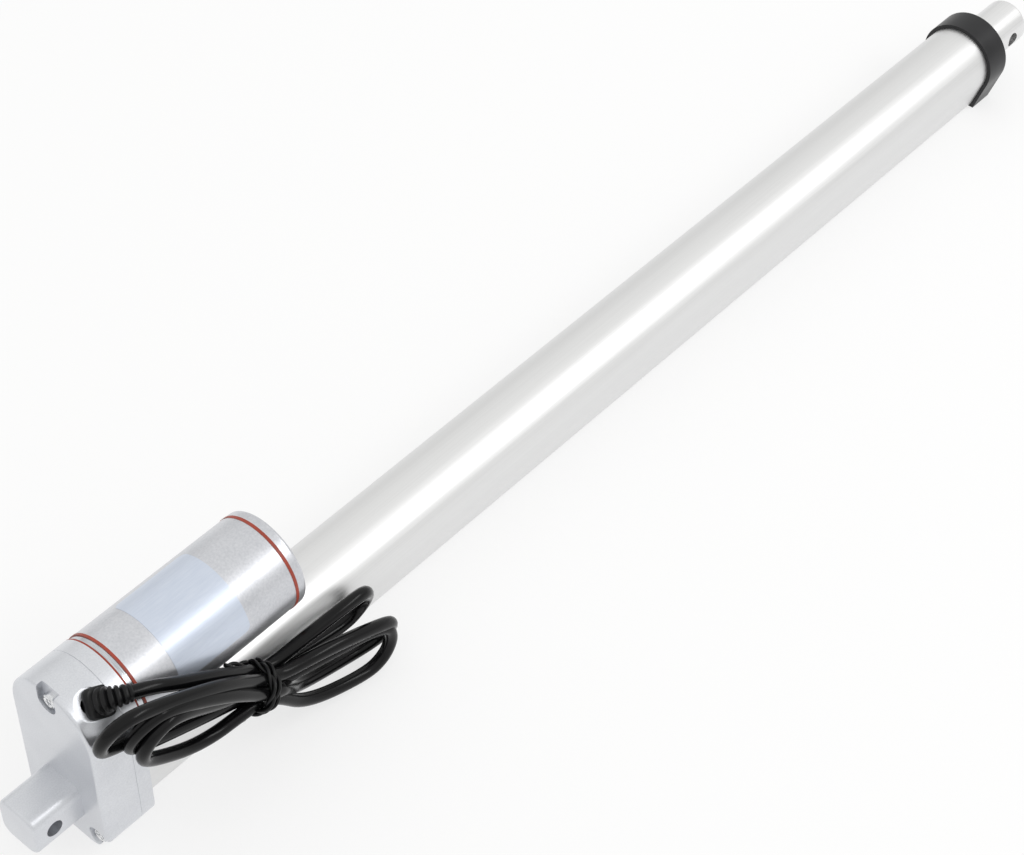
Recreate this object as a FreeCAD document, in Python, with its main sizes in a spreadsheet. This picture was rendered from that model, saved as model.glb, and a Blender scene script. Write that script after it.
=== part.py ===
import FreeCAD, Part
import math
import os

import Sketcher

# Electric linear actuator with a parallel motor. Millimetres, +X from the rear pivot hole to the rod,
# +Z up to the motor. The origin is the middle of the rear pivot hole, on the screw's axis.
# The drawn state is the closed one, with the rod all the way in.
# Sizes grow outwards from the screw and forwards from the rear lug, so the pieces stay seated in one another.

doc = FreeCAD.newDocument("linear_actuator")
sheet = doc.addObject("Spreadsheet::Sheet", "Sizes")

SIZES = {
    # travel, and the pivot holes
    "stroke": 450,
    "pivot_bore": 6.4,
    # rear lug, a square bar with well rounded corners
    "lug_width": 18,
    "lug_corner": 5,
    "lug_behind": 8,
    "lug_length": 12,
    "lug_edge": 1.2,
    # gearbox, two castings with one outline that leaves room round the gears and stands below the tube
    "gear_room": 1,
    "box_wall": 2.6,
    "box_foot": 2.2,
    "box_corner": 10,
    "box_edge": 1.2,
    "parting_edge": 0.25,
    "rear_wall": 4,
    "housing_depth": 5.7,
    # three cover screws, placed from the gearbox's edges, in recesses that open outwards
    "screw_from_top": 6.25,
    "screw_from_side": 4.85,
    "screw_from_below": 6.7,
    "recess_radius": 4.2,
    "recess_depth": 2.6,
    "boss_radius": 3.4,
    "screw_radius": 1.5,
    "screw_head_radius": 2.9,
    "screw_head_height": 2,
    "screw_short": 1.5,
    # motor casing, just clear of the tube: rings and seals between the gearbox and the end cap
    "motor_gap": 0.3,
    "flange_inset": 0.25,
    "seal_proud": 0.15,
    "seal_width": 2.2,
    "rear_seal": 0.7,
    "flange_length": 2.1,
    "front_seal": 1,
    "shell_wall": 1.2,
    "end_seal": 1.2,
    "end_cap_length": 4,
    "end_cap_edge": 1.5,
    "spigot_length": 3,
    "can_end_gap": 1.2,
    # motor inside
    "can_wall": 1.2,
    "magnet_thick": 2.8,
    "magnet_length": 34,
    "magnet_angle": 130,
    "air_gap": 0.6,
    "core_length": 30,
    "core_slots": 5,
    "slot_width": 2.4,
    "core_hub": 5,
    "winding_room": 6.7,
    "winding_overhang": 6,
    "winding_inset": 1.8,
    "commutator_wall": 3,
    "commutator_length": 7.5,
    "commutator_gap": 1.2,
    "brush_gap": 0.15,
    "brush_width": 4,
    "brush_height": 5,
    "brush_length": 7,
    "holder_wall": 1,
    "brush_plate": 4,
    "shaft_radius": 1.5,
    "motor_bush_wall": 2.5,
    "motor_bush_length": 5.5,
    # gear train: motor pinion, idler wheel and pinion, spindle gear
    "gear_module": 0.6,
    "pressure_angle": 20,
    "backlash": 0.14,
    "motor_teeth": 12,
    "wheel_teeth": 42,
    "idler_teeth": 14,
    "spindle_teeth": 50,
    "motor_shift": 0.3,
    "idler_shift": 0.2,
    "spindle_gear_width": 5,
    "wheel_width": 4,
    "idler_hub_length": 0.8,
    "idler_hub_wall": 2.1,
    "idler_aside": 2.64,
    "idler_pin_radius": 2,
    "idler_pin_seat": 2.5,
    # lead screw and its bushes
    "thread_radius": 5,
    "journal_step": 1,
    "flat_depth": 0.8,
    "tip_step": 2,
    "tip_length": 4.5,
    "tip_guide_gap": 0.4,
    "thread_spare": 3,
    "rear_bush_wall": 1.5,
    "rear_bush_length": 6.4,
    "bush_rim": 1.5,
    "bush_flange": 0.8,
    "front_bush_wall": 3,
    "bush_boss_wall": 3.5,
    "bush_boss_length": 4.5,
    "washer_width": 4,
    "thrust_washer": 0.7,
    # rod and its nut
    "rod_room": 1.5,
    "rod_wall": 3.5,
    "rod_ahead": 10,
    "rod_edge": 1.2,
    "plug_length": 26,
    "nut_clear": 7.3,
    "nut_thread": 14,
    "nut_socket": 10,
    "nut_wall": 3.15,
    "nut_floor": 2,
    "nut_gap": 0.35,
    "nut_stop_gap": 1,
    "nut_magnet_radius": 2,
    "nut_magnet_depth": 3.5,
    # outer tube: round above, tapered sides and a flat underside
    "tube_wall": 2,
    "tube_taper": 17,
    "tube_seat": 3,
    # end-of-travel switch strip on the tube's floor
    "strip_width": 14,
    "strip_thick": 1.2,
    "strip_gap": 2,
    "reed_radius": 1.1,
    "reed_length": 14,
    "reed_gap": 0.3,
    # front cap, guide bush and wiper
    "cap_to_hole": 16,
    "cap_length": 12.5,
    "cap_wall": 1.7,
    "cap_front": 4.5,
    "cap_edge": 0.8,
    "guide_length": 13.5,
    "wiper_width": 2.5,
    "wiper_length": 2.5,
    "wiper_gap": 0.2,
    # strain relief on the gearbox's round shoulder
    "boot_back": 8.2,
    "boot_angle": 52,
    "boot_turn": 22,
    "boot_sunk": 1.35,
    "boot_clear": 0.15,
    "boot_flange_radius": 5.6,
    "boot_flange": 3,
    "boot_elbow": 5,
    "boot_core": 3.3,
    "boot_root": 4.9,
    "boot_tip": 3.9,
    "boot_length": 12,
    "boot_ribs": 4,
    "boot_stem": 2.9,
    "cable_radius": 2.5,
    # clearances: pieces set in one another, shafts in their bushes, turning pieces end to end
    "set_gap": 0.05,
    "run_gap": 0.1,
    "side_gap": 0.3,
}

for row, (alias, size) in enumerate(SIZES.items(), start=1):
    sheet.set(f"A{row}", alias.replace("_", " "))
    sheet.set(f"B{row}", str(size))
    sheet.setAlias(f"B{row}", alias)
doc.recompute()


def cell(alias):
    """The name of a size in an expression."""
    return f"Sizes.{alias}"


def total(*terms):
    """An expression that adds sizes and other expressions."""
    return "(" + " + ".join(cell(term) if term in SIZES else term for term in terms) + ")"


def value(expression):
    """An expression's number."""
    return float(sheet.evalExpression(expression))


def bind(thing, **expressions):
    """Tie a thing's properties to expressions; a double underscore stands for a dot."""
    for name, expression in expressions.items():
        thing.setExpression(name.replace("__", "."), expression)


# radii from the screw outwards
JOURNAL = "(Sizes.thread_radius - Sizes.journal_step)"
ROD_BORE = total("thread_radius", "rod_room")
ROD_RADIUS = total(ROD_BORE, "rod_wall")
TUBE_RADIUS = total(ROD_RADIUS, "nut_wall", "nut_gap", "tube_wall")
NUT_BELOW = total(ROD_RADIUS, "nut_floor")
STRIP_HEIGHT = total("strip_thick", "2 * Sizes.reed_radius", "2 * Sizes.set_gap", "reed_gap")
TUBE_BELOW = total(NUT_BELOW, STRIP_HEIGHT, "tube_wall")
WIPER_RADIUS = total(ROD_RADIUS, "wiper_width")

# gear train: the idler stands a little aside, one centre distance from the motor's axis and another
# from the screw's
WHEEL_REACH = "(Sizes.gear_module * (Sizes.motor_teeth + Sizes.wheel_teeth) / 2)"
IDLER_REACH = "(Sizes.gear_module * (Sizes.idler_teeth + Sizes.spindle_teeth) / 2)"
IDLER_Y = cell("idler_aside")
IDLER_Z = f"sqrt({IDLER_REACH} ^ 2 - {IDLER_Y} ^ 2)"
MOTOR_AXIS = f"({IDLER_Z} + sqrt({WHEEL_REACH} ^ 2 - {IDLER_Y} ^ 2))"
WHEEL_TIP = "(Sizes.gear_module * (Sizes.wheel_teeth / 2 + 1 - Sizes.motor_shift))"
SPINDLE_TIP = "(Sizes.gear_module * (Sizes.spindle_teeth / 2 + 1 - Sizes.idler_shift))"

# gearbox outline, and the motor's radii from its casing inwards
HALF_BOX = f"(max({SPINDLE_TIP}; {IDLER_Y} + {WHEEL_TIP}) + Sizes.gear_room + Sizes.box_wall)"
BOX_BELOW = f"max({TUBE_BELOW} + Sizes.box_foot; {SPINDLE_TIP} + Sizes.gear_room + Sizes.box_wall)"
MOTOR_RADIUS = f"({MOTOR_AXIS} - {TUBE_RADIUS} - Sizes.motor_gap - Sizes.seal_proud)"
CAN_RADIUS = f"({MOTOR_RADIUS} - Sizes.shell_wall - Sizes.set_gap)"
CAN_BORE = f"({CAN_RADIUS} - Sizes.can_wall)"
MAGNET_BORE = f"({CAN_BORE} - Sizes.set_gap - Sizes.magnet_thick)"
CORE_RADIUS = f"({MAGNET_BORE} - Sizes.air_gap)"
MOTOR_BUSH = total("shaft_radius", "motor_bush_wall")
COMMUTATOR = total("shaft_radius", "commutator_wall")

# stations along X: gearbox, then motor, then screw, rod and tube
REAR_FACE = cell("lug_length")
CAVITY_START = total(REAR_FACE, "rear_wall")
GEAR_START = total(CAVITY_START, "bush_flange", "side_gap")
GEAR_END = total(GEAR_START, "spindle_gear_width")
WHEEL_START = total(GEAR_END, "side_gap")
WHEEL_END = total(WHEEL_START, "wheel_width")
PARTING = total(WHEEL_END, "idler_hub_length", "side_gap")
BOX_FRONT = total(PARTING, "housing_depth")
COVER_DEPTH = f"({PARTING} - {REAR_FACE})"
FLANGE_START = total(BOX_FRONT, "rear_seal")
FLANGE_END = total(FLANGE_START, "flange_length")
SHELL_START = total(FLANGE_END, "front_seal")
HOLLOW_START = total(FLANGE_END, "can_wall")
CORE_START = total(HOLLOW_START, "winding_room", "winding_overhang")
CORE_END = total(CORE_START, "core_length")
COMMUTATOR_START = total(CORE_END, "winding_overhang", "side_gap")
PLATE_START = total(COMMUTATOR_START, "commutator_length", "commutator_gap")
CAN_END = total(PLATE_START, "brush_plate")
SPIGOT_START = total(CAN_END, "can_end_gap")
SHELL_END = total(SPIGOT_START, "spigot_length")
END_CAP_START = total(SHELL_END, "end_seal")
TUBE_START = f"({BOX_FRONT} - Sizes.tube_seat)"
BOSS_FRONT = total(BOX_FRONT, "bush_boss_length")
SCREW_SHOULDER = total(BOSS_FRONT, "thrust_washer", "side_gap")
NUT_START = total(SCREW_SHOULDER, "nut_clear")
ROD_START = total(NUT_START, "nut_thread")
SCREW_END = total(ROD_START, "stroke", "thread_spare")
GUIDE_START = total(ROD_START, "nut_socket", "stroke", "nut_stop_gap")
TUBE_END = total(GUIDE_START, "guide_length")
CAP_FRONT = total(TUBE_END, "cap_front")
CAP_START = f"({CAP_FRONT} - Sizes.cap_length)"
HOLE_SPACING = total(CAP_FRONT, "cap_to_hole")
ROD_END = total(HOLE_SPACING, "rod_ahead")

# the cover screws, with the way in which each recess opens
SCREW_ASIDE = f"({HALF_BOX} - Sizes.screw_from_side)"
SCREW_LOW = f"(Sizes.screw_from_below - {BOX_BELOW})"
SLANT = math.sqrt(1 / 2)
SCREW_PLACES = [
    ("0", f"({MOTOR_AXIS} + {HALF_BOX} - Sizes.screw_from_top)", (0, 1)),
    (SCREW_ASIDE, SCREW_LOW, (SLANT, -SLANT)),
    (f"-{SCREW_ASIDE}", SCREW_LOW, (-SLANT, -SLANT)),
]
SCREW_BITE = "(Sizes.housing_depth - Sizes.screw_short)"

# the strain relief's seat and cable line, measured from the motor's axis
BOOT_SEAT = f"({HALF_BOX} - Sizes.boot_sunk)"
BOOT_LINE = total(HALF_BOX, "boot_root", "boot_clear")

ALONG_X = FreeCAD.Rotation(FreeCAD.Vector(0, 1, 0), 90)
ALONG_Y = FreeCAD.Rotation(FreeCAD.Vector(1, 0, 0), -90)
UPRIGHT = FreeCAD.Rotation()

# a cutting tool passes the faces it cuts by this much
PAST = 1


def place(thing, x="0", y="0", z="0"):
    """Tie a thing's place to expressions."""
    bind(thing, Placement__Base__x=x, Placement__Base__y=y, Placement__Base__z=z)


def cylinder(radius, length, x="0", y="0", z="0", turn=ALONG_X):
    """A cylinder from a start point, along X unless it is turned."""
    thing = doc.addObject("Part::Cylinder", "Cylinder")
    thing.Placement = FreeCAD.Placement(FreeCAD.Vector(), turn)
    bind(thing, Radius=radius, Height=length)
    place(thing, x, y, z)
    return thing


def box(length, width, height, x, y, z):
    """A box from its lowest corner."""
    thing = doc.addObject("Part::Box", "Box")
    bind(thing, Length=length, Width=width, Height=height)
    place(thing, x, y, z)
    return thing


def fuse(*things):
    """Things grown together."""
    thing = doc.addObject("Part::MultiFuse", "Fuse")
    thing.Shapes = list(things)
    return thing


def cut(base, *tools):
    """A base less its tools."""
    thing = doc.addObject("Part::Cut", "Cut")
    thing.Base = base
    thing.Tool = tools[0] if len(tools) == 1 else fuse(*tools)
    return thing


def group(*things):
    """Separate solids that share a node."""
    thing = doc.addObject("Part::Compound", "Compound")
    thing.Links = list(things)
    return thing


def ring(outer, inner, length, x, z="0"):
    """A ring about an axis along X, at a height above the screw."""
    hole = cylinder(inner, f"{length} + 2 * {PAST}", f"{x} - {PAST}", z=z)
    return cut(cylinder(outer, length, x, z=z), hole)


def cross_hole(x, width):
    """A pivot hole along Y through something of a width, at a station along X."""
    reach = f"({width} / 2 + {PAST})"
    return cylinder("Sizes.pivot_bore / 2", f"2 * {reach}", x, f"-{reach}", turn=ALONG_Y)


nodes = []


def node(name, thing):
    """Name a finished sub-part."""
    thing.Label = name
    nodes.append(thing)
    return thing


def new_body(name):
    """An empty body that becomes a named sub-part."""
    return node(name, doc.addObject("PartDesign::Body", name))


def sketch_at(body, x):
    """A sketch across the body at a station along X; its axes are Y and Z."""
    sketch = body.newObject("Sketcher::SketchObject", "Sketch")
    plane = next(f for f in body.Origin.OriginFeatures if f.Role == "YZ_Plane")
    sketch.AttachmentSupport = (plane, [""])
    sketch.MapMode = "FlatFace"
    sketch.setExpression("AttachmentOffset.Base.z", x)
    return sketch


def tie_point(sketch, edge, point, y=None, z=None):
    """Tie a sketch point's coordinates to expressions."""
    for kind, expression in (("DistanceX", y), ("DistanceY", z)):
        if expression is not None:
            constraint = Sketcher.Constraint(kind, -1, 1, edge, point, value(expression))
            sketch.setExpression(f"Constraints[{sketch.addConstraint(constraint)}]", expression)


def circle(sketch, radius, y="0", z="0"):
    """A full circle in a sketch."""
    centre = FreeCAD.Vector(value(y), value(z), 0)
    edge = sketch.addGeometry(Part.Circle(centre, FreeCAD.Vector(0, 0, 1), value(radius)))
    constraint = Sketcher.Constraint("Radius", edge, value(radius))
    sketch.setExpression(f"Constraints[{sketch.addConstraint(constraint)}]", radius)
    tie_point(sketch, edge, 3, y, z)


def outline(sketch, corners):
    """A closed outline. A corner is (y, z), or (y, z, centre) where an arc about the centre leads to it,
    anticlockwise."""
    count = len(corners)
    for index, corner in enumerate(corners):
        before = corners[index - 1]
        start = FreeCAD.Vector(value(before[0]), value(before[1]), 0)
        end = FreeCAD.Vector(value(corner[0]), value(corner[1]), 0)
        if len(corner) == 2:
            sketch.addGeometry(Part.LineSegment(start, end))
            continue
        centre = FreeCAD.Vector(value(corner[2][0]), value(corner[2][1]), 0)
        full = Part.Circle(centre, FreeCAD.Vector(0, 0, 1), (start - centre).Length)
        angles = [math.atan2((p - centre).y, (p - centre).x) for p in (start, end)]
        sketch.addGeometry(Part.ArcOfCircle(full, angles[0], angles[1]))
    for index, corner in enumerate(corners):
        sketch.addConstraint(Sketcher.Constraint("Coincident", index, 2, (index + 1) % count, 1))
        if len(corner) == 2:
            tie_point(sketch, index, 2, corner[0], corner[1])
            continue
        tie_point(sketch, index, 3, corner[2][0], corner[2][1])
        # an arc's end slides along it, so one coordinate holds it: the one that changes more
        aside = abs(value(corner[0]) - value(corner[2][0]))
        above = abs(value(corner[1]) - value(corner[2][1]))
        if aside > above:
            tie_point(sketch, index, 2, z=corner[1])
        else:
            tie_point(sketch, index, 2, y=corner[0])


def pad(body, sketch, length):
    """Grow a sketch along +X."""
    feature = body.newObject("PartDesign::Pad", "Pad")
    feature.Profile = sketch
    feature.setExpression("Length", length)
    doc.recompute()
    return feature


def pocket(body, sketch, length):
    """Cut a sketch into the body along +X, and make sure that it took something away."""
    before = body.Shape.Volume
    feature = body.newObject("PartDesign::Pocket", "Pocket")
    feature.Profile = sketch
    feature.Reversed = True
    feature.setExpression("Length", length)
    doc.recompute()
    if body.Shape.Volume >= before:
        raise RuntimeError(f"a pocket in {body.Label} cuts nothing")
    return feature


def polar(body, feature, sketch, count):
    """Repeat a feature around its sketch's normal."""
    pattern = body.newObject("PartDesign::PolarPattern", "PolarPattern")
    pattern.Originals = [feature]
    pattern.Axis = (sketch, ["N_Axis"])
    pattern.Angle = 360
    pattern.setExpression("Occurrences", count)
    body.Tip = pattern
    doc.recompute()


def fillet(body, radius, wanted):
    """Round the body's edges that a test picks by their bounding box."""
    base = body.Tip
    edges = [f"Edge{i}" for i, edge in enumerate(base.Shape.Edges, start=1) if wanted(edge.BoundBox)]
    feature = body.newObject("PartDesign::Fillet", "Fillet")
    feature.Base = (base, edges)
    feature.setExpression("Radius", radius)
    doc.recompute()


def round_edges(thing, radius, wanted):
    """Round a solid's edges that a test picks by their bounding box."""
    doc.recompute()
    size = value(radius)
    feature = doc.addObject("Part::Fillet", "Fillet")
    feature.Base = thing
    feature.Edges = [
        (i, size, size) for i, edge in enumerate(thing.Shape.Edges, start=1) if wanted(edge.BoundBox)
    ]
    return feature


# coordinates closer than this are the same
SAME = 0.01


def near(a, b):
    """Whether two coordinates are the same."""
    return abs(a - b) < SAME


def across(x):
    """A test for edges that lie in the plane at a station along X."""
    return lambda bounds: near(bounds.XMin, x) and near(bounds.XMax, x)


def box_outline(sketch, inset="0"):
    """The gearbox's outline: round lower corners, straight sides and a half round about the motor's axis."""
    half = f"({HALF_BOX} - {inset})"
    below = f"({inset} - {BOX_BELOW})"
    corner = f"(Sizes.box_corner - {inset})"
    aside = f"({half} - {corner})"
    above = f"({below} + {corner})"
    corners = [
        (f"-{half}", above),
        (f"-{aside}", below, (f"-{aside}", above)),
        (aside, below),
        (half, above, (aside, above)),
        (half, MOTOR_AXIS),
        (f"-{half}", MOTOR_AXIS, ("0", MOTOR_AXIS)),
    ]
    outline(sketch, corners)


def shield_outline(sketch, grow="0", below=None):
    """The outer tube's outline, grown or shrunk all round; below overrides the level of its flat."""
    radius = f"({TUBE_RADIUS} + {grow})"
    flat = below or f"({TUBE_BELOW} + {grow})"
    side = f"({radius} * cos(Sizes.tube_taper))"
    drop = f"({radius} * sin(Sizes.tube_taper))"
    foot = f"({side} - tan(Sizes.tube_taper) * ({flat} - {drop}))"
    corners = [
        (f"-{foot}", f"-{flat}"),
        (foot, f"-{flat}"),
        (side, f"-{drop}"),
        (f"-{side}", f"-{drop}", ("0", "0")),
    ]
    outline(sketch, corners)


def slot_outline(sketch, y, z, radius, way, reach):
    """A slot with one round end, about a centre, that runs out along a direction in Y and Z."""
    side = (way[1], -way[0])

    def corner(far, aside):
        return tuple(
            f"{base} + {far * step} * {reach} + {aside * turn} * {radius}"
            for base, step, turn in zip((y, z), way, side)
        )

    outline(sketch, [corner(1, 1), corner(1, -1), corner(0, -1), corner(0, 1) + ((y, z),)])


# The strain relief stands on the gearbox's round shoulder: its own Z axis points away from the motor's axis,
# and its X axis along the cable, turned down from the front.
lean = math.radians(value(cell("boot_angle")))
turn = math.radians(value(cell("boot_turn")))
boot_out = FreeCAD.Vector(0, -math.cos(lean), math.sin(lean))
boot_down = FreeCAD.Vector(0, -math.sin(lean), -math.cos(lean))
boot_along = FreeCAD.Vector(1, 0, 0) * math.cos(turn) + boot_down * math.sin(turn)
boot_root = FreeCAD.Vector(value(f"{REAR_FACE} + Sizes.boot_back"), 0, value(MOTOR_AXIS))
BOOT_PLACE = FreeCAD.Placement(
    boot_root, FreeCAD.Rotation(boot_along, boot_out.cross(boot_along), boot_out, "ZXY")
)


def rear_cover():
    """The rear casting: a deep cover with the pivot lug, screw bosses and seats for the pins."""
    body = doc.addObject("PartDesign::Body", "RearCover")
    rear = value(REAR_FACE)
    behind = -value(cell("lug_behind"))
    shell = sketch_at(body, REAR_FACE)
    box_outline(shell)
    pad(body, shell, COVER_DEPTH)
    fillet(body, cell("box_edge"), across(rear))
    fillet(body, cell("parting_edge"), across(value(PARTING)))

    lug = sketch_at(body, "-Sizes.lug_behind")
    half = "(Sizes.lug_width / 2)"
    outline(lug, [(f"-{half}", f"-{half}"), (half, f"-{half}"), (half, half), (f"-{half}", half)])
    pad(body, lug, f"Sizes.lug_behind + {REAR_FACE}")
    fillet(body, cell("lug_corner"), lambda b: near(b.XMin, behind) and near(b.XMax, rear))
    fillet(body, cell("lug_edge"), across(behind))

    cavity = sketch_at(body, CAVITY_START)
    box_outline(cavity, cell("box_wall"))
    pocket(body, cavity, f"{PARTING} - {CAVITY_START}")
    for y, z, way in SCREW_PLACES:
        boss = sketch_at(body, CAVITY_START)
        circle(boss, cell("boss_radius"), y, z)
        pad(body, boss, f"{PARTING} - {CAVITY_START}")
        hole = sketch_at(body, REAR_FACE)
        circle(hole, "Sizes.screw_radius + Sizes.run_gap", y, z)
        pocket(body, hole, COVER_DEPTH)
        recess = sketch_at(body, REAR_FACE)
        slot_outline(recess, y, z, cell("recess_radius"), way, HALF_BOX)
        pocket(body, recess, cell("recess_depth"))
    seat_depth = "(Sizes.rear_bush_length + Sizes.set_gap)"
    bush_bore = sketch_at(body, f"{CAVITY_START} - {seat_depth}")
    circle(bush_bore, f"{JOURNAL} + Sizes.rear_bush_wall + Sizes.set_gap")
    pocket(body, bush_bore, seat_depth)
    pin_depth = "(Sizes.idler_pin_seat + Sizes.set_gap)"
    pin_seat = sketch_at(body, f"{CAVITY_START} - {pin_depth}")
    circle(pin_seat, "Sizes.idler_pin_radius + Sizes.set_gap", IDLER_Y, IDLER_Z)
    pocket(body, pin_seat, pin_depth)

    pivot = cross_hole("0", cell("lug_width"))
    spot_face = cylinder("Sizes.boot_flange_radius + Sizes.run_gap", HALF_BOX, z=BOOT_SEAT, turn=UPRIGHT)
    cable_hole = cylinder("Sizes.boot_stem + Sizes.set_gap", HALF_BOX, turn=UPRIGHT)
    boot_seat = fuse(spot_face, cable_hole)
    boot_seat.Placement = BOOT_PLACE
    node("rear_cover", cut(body, pivot, boot_seat))


def gear_housing():
    """The front casting: closes the gearbox, holds the tube's end, the screw's bush and the motor."""
    body = new_body("gear_housing")
    plate = sketch_at(body, PARTING)
    box_outline(plate)
    pad(body, plate, cell("housing_depth"))
    fillet(body, cell("parting_edge"), across(value(PARTING)))
    socket = sketch_at(body, TUBE_START)
    shield_outline(socket, cell("set_gap"))
    pocket(body, socket, cell("tube_seat"))
    boss = sketch_at(body, TUBE_START)
    circle(boss, total(JOURNAL, "front_bush_wall", "bush_boss_wall"))
    pad(body, boss, f"{BOSS_FRONT} - {TUBE_START}")
    holes = [
        (total(JOURNAL, "front_bush_wall"), "0", "0", f"{BOSS_FRONT} - {PARTING}"),
        (MOTOR_BUSH, "0", MOTOR_AXIS, cell("housing_depth")),
        (cell("idler_pin_radius"), IDLER_Y, IDLER_Z, "Sizes.idler_pin_seat + Sizes.set_gap"),
    ]
    for y, z, _ in SCREW_PLACES:
        holes.append((cell("screw_radius"), y, z, f"{SCREW_BITE} + Sizes.set_gap"))
    for radius, y, z, depth in holes:
        hole = sketch_at(body, PARTING)
        circle(hole, f"{radius} + Sizes.set_gap", y, z)
        pocket(body, hole, depth)


def cover_screws():
    """Three pan head screws, sunk in the rear cover's recesses."""
    seat = total(REAR_FACE, "recess_depth")
    screws = []
    for y, z, _ in SCREW_PLACES:
        top = f"{seat} - Sizes.screw_head_height"
        head = cylinder(cell("screw_head_radius"), cell("screw_head_height"), top, y, z)
        shank = cylinder(cell("screw_radius"), f"{PARTING} + {SCREW_BITE} - {seat}", seat, y, z)
        screws.append(fuse(head, shank))
    node("cover_screws", group(*screws))


def motor_casing():
    """The motor's outside, from the gearbox forwards: seal, flange, seal, shell, seal and end cap."""
    proud = f"{MOTOR_RADIUS} + Sizes.seal_proud"
    inner = f"({MOTOR_RADIUS} - Sizes.seal_width)"
    node("motor_rear_seal", ring(proud, inner, cell("rear_seal"), BOX_FRONT, MOTOR_AXIS))
    flange_radius = f"{MOTOR_RADIUS} - Sizes.flange_inset"
    bush_hole = f"{MOTOR_BUSH} + Sizes.set_gap"
    node("motor_flange", ring(flange_radius, bush_hole, cell("flange_length"), FLANGE_START, MOTOR_AXIS))
    shell_bore = f"{MOTOR_RADIUS} - Sizes.shell_wall"
    node("motor_front_seal", ring(proud, shell_bore, cell("front_seal"), FLANGE_END, MOTOR_AXIS))
    shell = ring(MOTOR_RADIUS, shell_bore, f"({SHELL_END} - {SHELL_START})", SHELL_START, MOTOR_AXIS)
    node("motor_shell", shell)
    node("motor_end_seal", ring(proud, inner, cell("end_seal"), SHELL_END, MOTOR_AXIS))
    disc = cylinder(MOTOR_RADIUS, cell("end_cap_length"), END_CAP_START, z=MOTOR_AXIS)
    front = value(f"{END_CAP_START} + Sizes.end_cap_length")
    cap = round_edges(disc, cell("end_cap_edge"), across(front))
    spigot_length = f"{END_CAP_START} - {SPIGOT_START}"
    spigot = cylinder(f"{inner} - Sizes.set_gap", spigot_length, SPIGOT_START, z=MOTOR_AXIS)
    node("motor_end_cap", fuse(cap, spigot))


def motor_stator():
    """What stands still inside the motor: steel can, two magnets, bushes, brush plate and brushes."""
    bush_hole = f"{MOTOR_BUSH} + Sizes.set_gap"
    can_length = f"{CAN_END} - {FLANGE_END}"
    cup = cylinder(CAN_RADIUS, can_length, FLANGE_END, z=MOTOR_AXIS)
    hollow = cylinder(CAN_BORE, can_length, HOLLOW_START, z=MOTOR_AXIS)
    hole = cylinder(bush_hole, can_length, f"{FLANGE_END} - {PAST}", z=MOTOR_AXIS)
    node("motor_can", cut(cup, hollow, hole))

    magnets = []
    half_angle = value(cell("magnet_angle")) / 2
    magnet_start = f"({CORE_START} + (Sizes.core_length - Sizes.magnet_length) / 2)"
    for side in (-90, 90):
        sector = cylinder(f"{CAN_BORE} - Sizes.set_gap", cell("magnet_length"), magnet_start, z=MOTOR_AXIS)
        sector.setExpression("Angle", cell("magnet_angle"))
        spin = FreeCAD.Rotation(FreeCAD.Vector(0, 0, 1), side - half_angle)
        sector.Placement.Rotation = ALONG_X * spin
        bore = cylinder(MAGNET_BORE, cell("magnet_length"), magnet_start, z=MOTOR_AXIS)
        magnets.append(cut(sector, bore))
    node("motor_magnets", group(*magnets))

    shaft_hole = "Sizes.shaft_radius + Sizes.run_gap"
    bush_start = f"{HOLLOW_START} - Sizes.motor_bush_length"
    output_bush = ring(MOTOR_BUSH, shaft_hole, cell("motor_bush_length"), bush_start, MOTOR_AXIS)
    node("motor_bush_output", output_bush)
    end_bush = ring(MOTOR_BUSH, shaft_hole, cell("brush_plate"), PLATE_START, MOTOR_AXIS)
    node("motor_bush_end", end_bush)

    brush_x = f"({COMMUTATOR_START} + (Sizes.commutator_length - Sizes.brush_width) / 2)"
    brush_z = f"{MOTOR_AXIS} - Sizes.brush_height / 2"
    brush_inner = f"({COMMUTATOR} + Sizes.brush_gap)"
    wall = "(Sizes.holder_wall + Sizes.set_gap)"
    brush_size = [cell("brush_width"), cell("brush_length"), cell("brush_height")]
    slot_size = [f"{length} + 2 * Sizes.set_gap" for length in brush_size]
    holder_size = [
        f"{PLATE_START} - {brush_x} + {wall}",
        cell("brush_length"),
        f"Sizes.brush_height + 2 * {wall}",
    ]
    brushes = []
    slots = []
    holders = [ring(f"{CAN_BORE} - Sizes.set_gap", bush_hole, cell("brush_plate"), PLATE_START, MOTOR_AXIS)]
    # boxes grow along +Y, so the brush on the other side starts at its outer end
    outer_end = f"-{brush_inner} - Sizes.brush_length"
    for brush_y, holder_y in ((brush_inner, f"{brush_inner} + {wall}"), (outer_end, f"{outer_end} - {wall}")):
        corner = (brush_x, brush_y, brush_z)
        brushes.append(box(*brush_size, *corner))
        slots.append(box(*slot_size, *(f"{start} - Sizes.set_gap" for start in corner)))
        holders.append(box(*holder_size, f"{brush_x} - {wall}", holder_y, f"{brush_z} - {wall}"))
    node("motor_brush_plate", cut(fuse(*holders), *slots))
    node("motor_brushes", group(*brushes))


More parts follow.
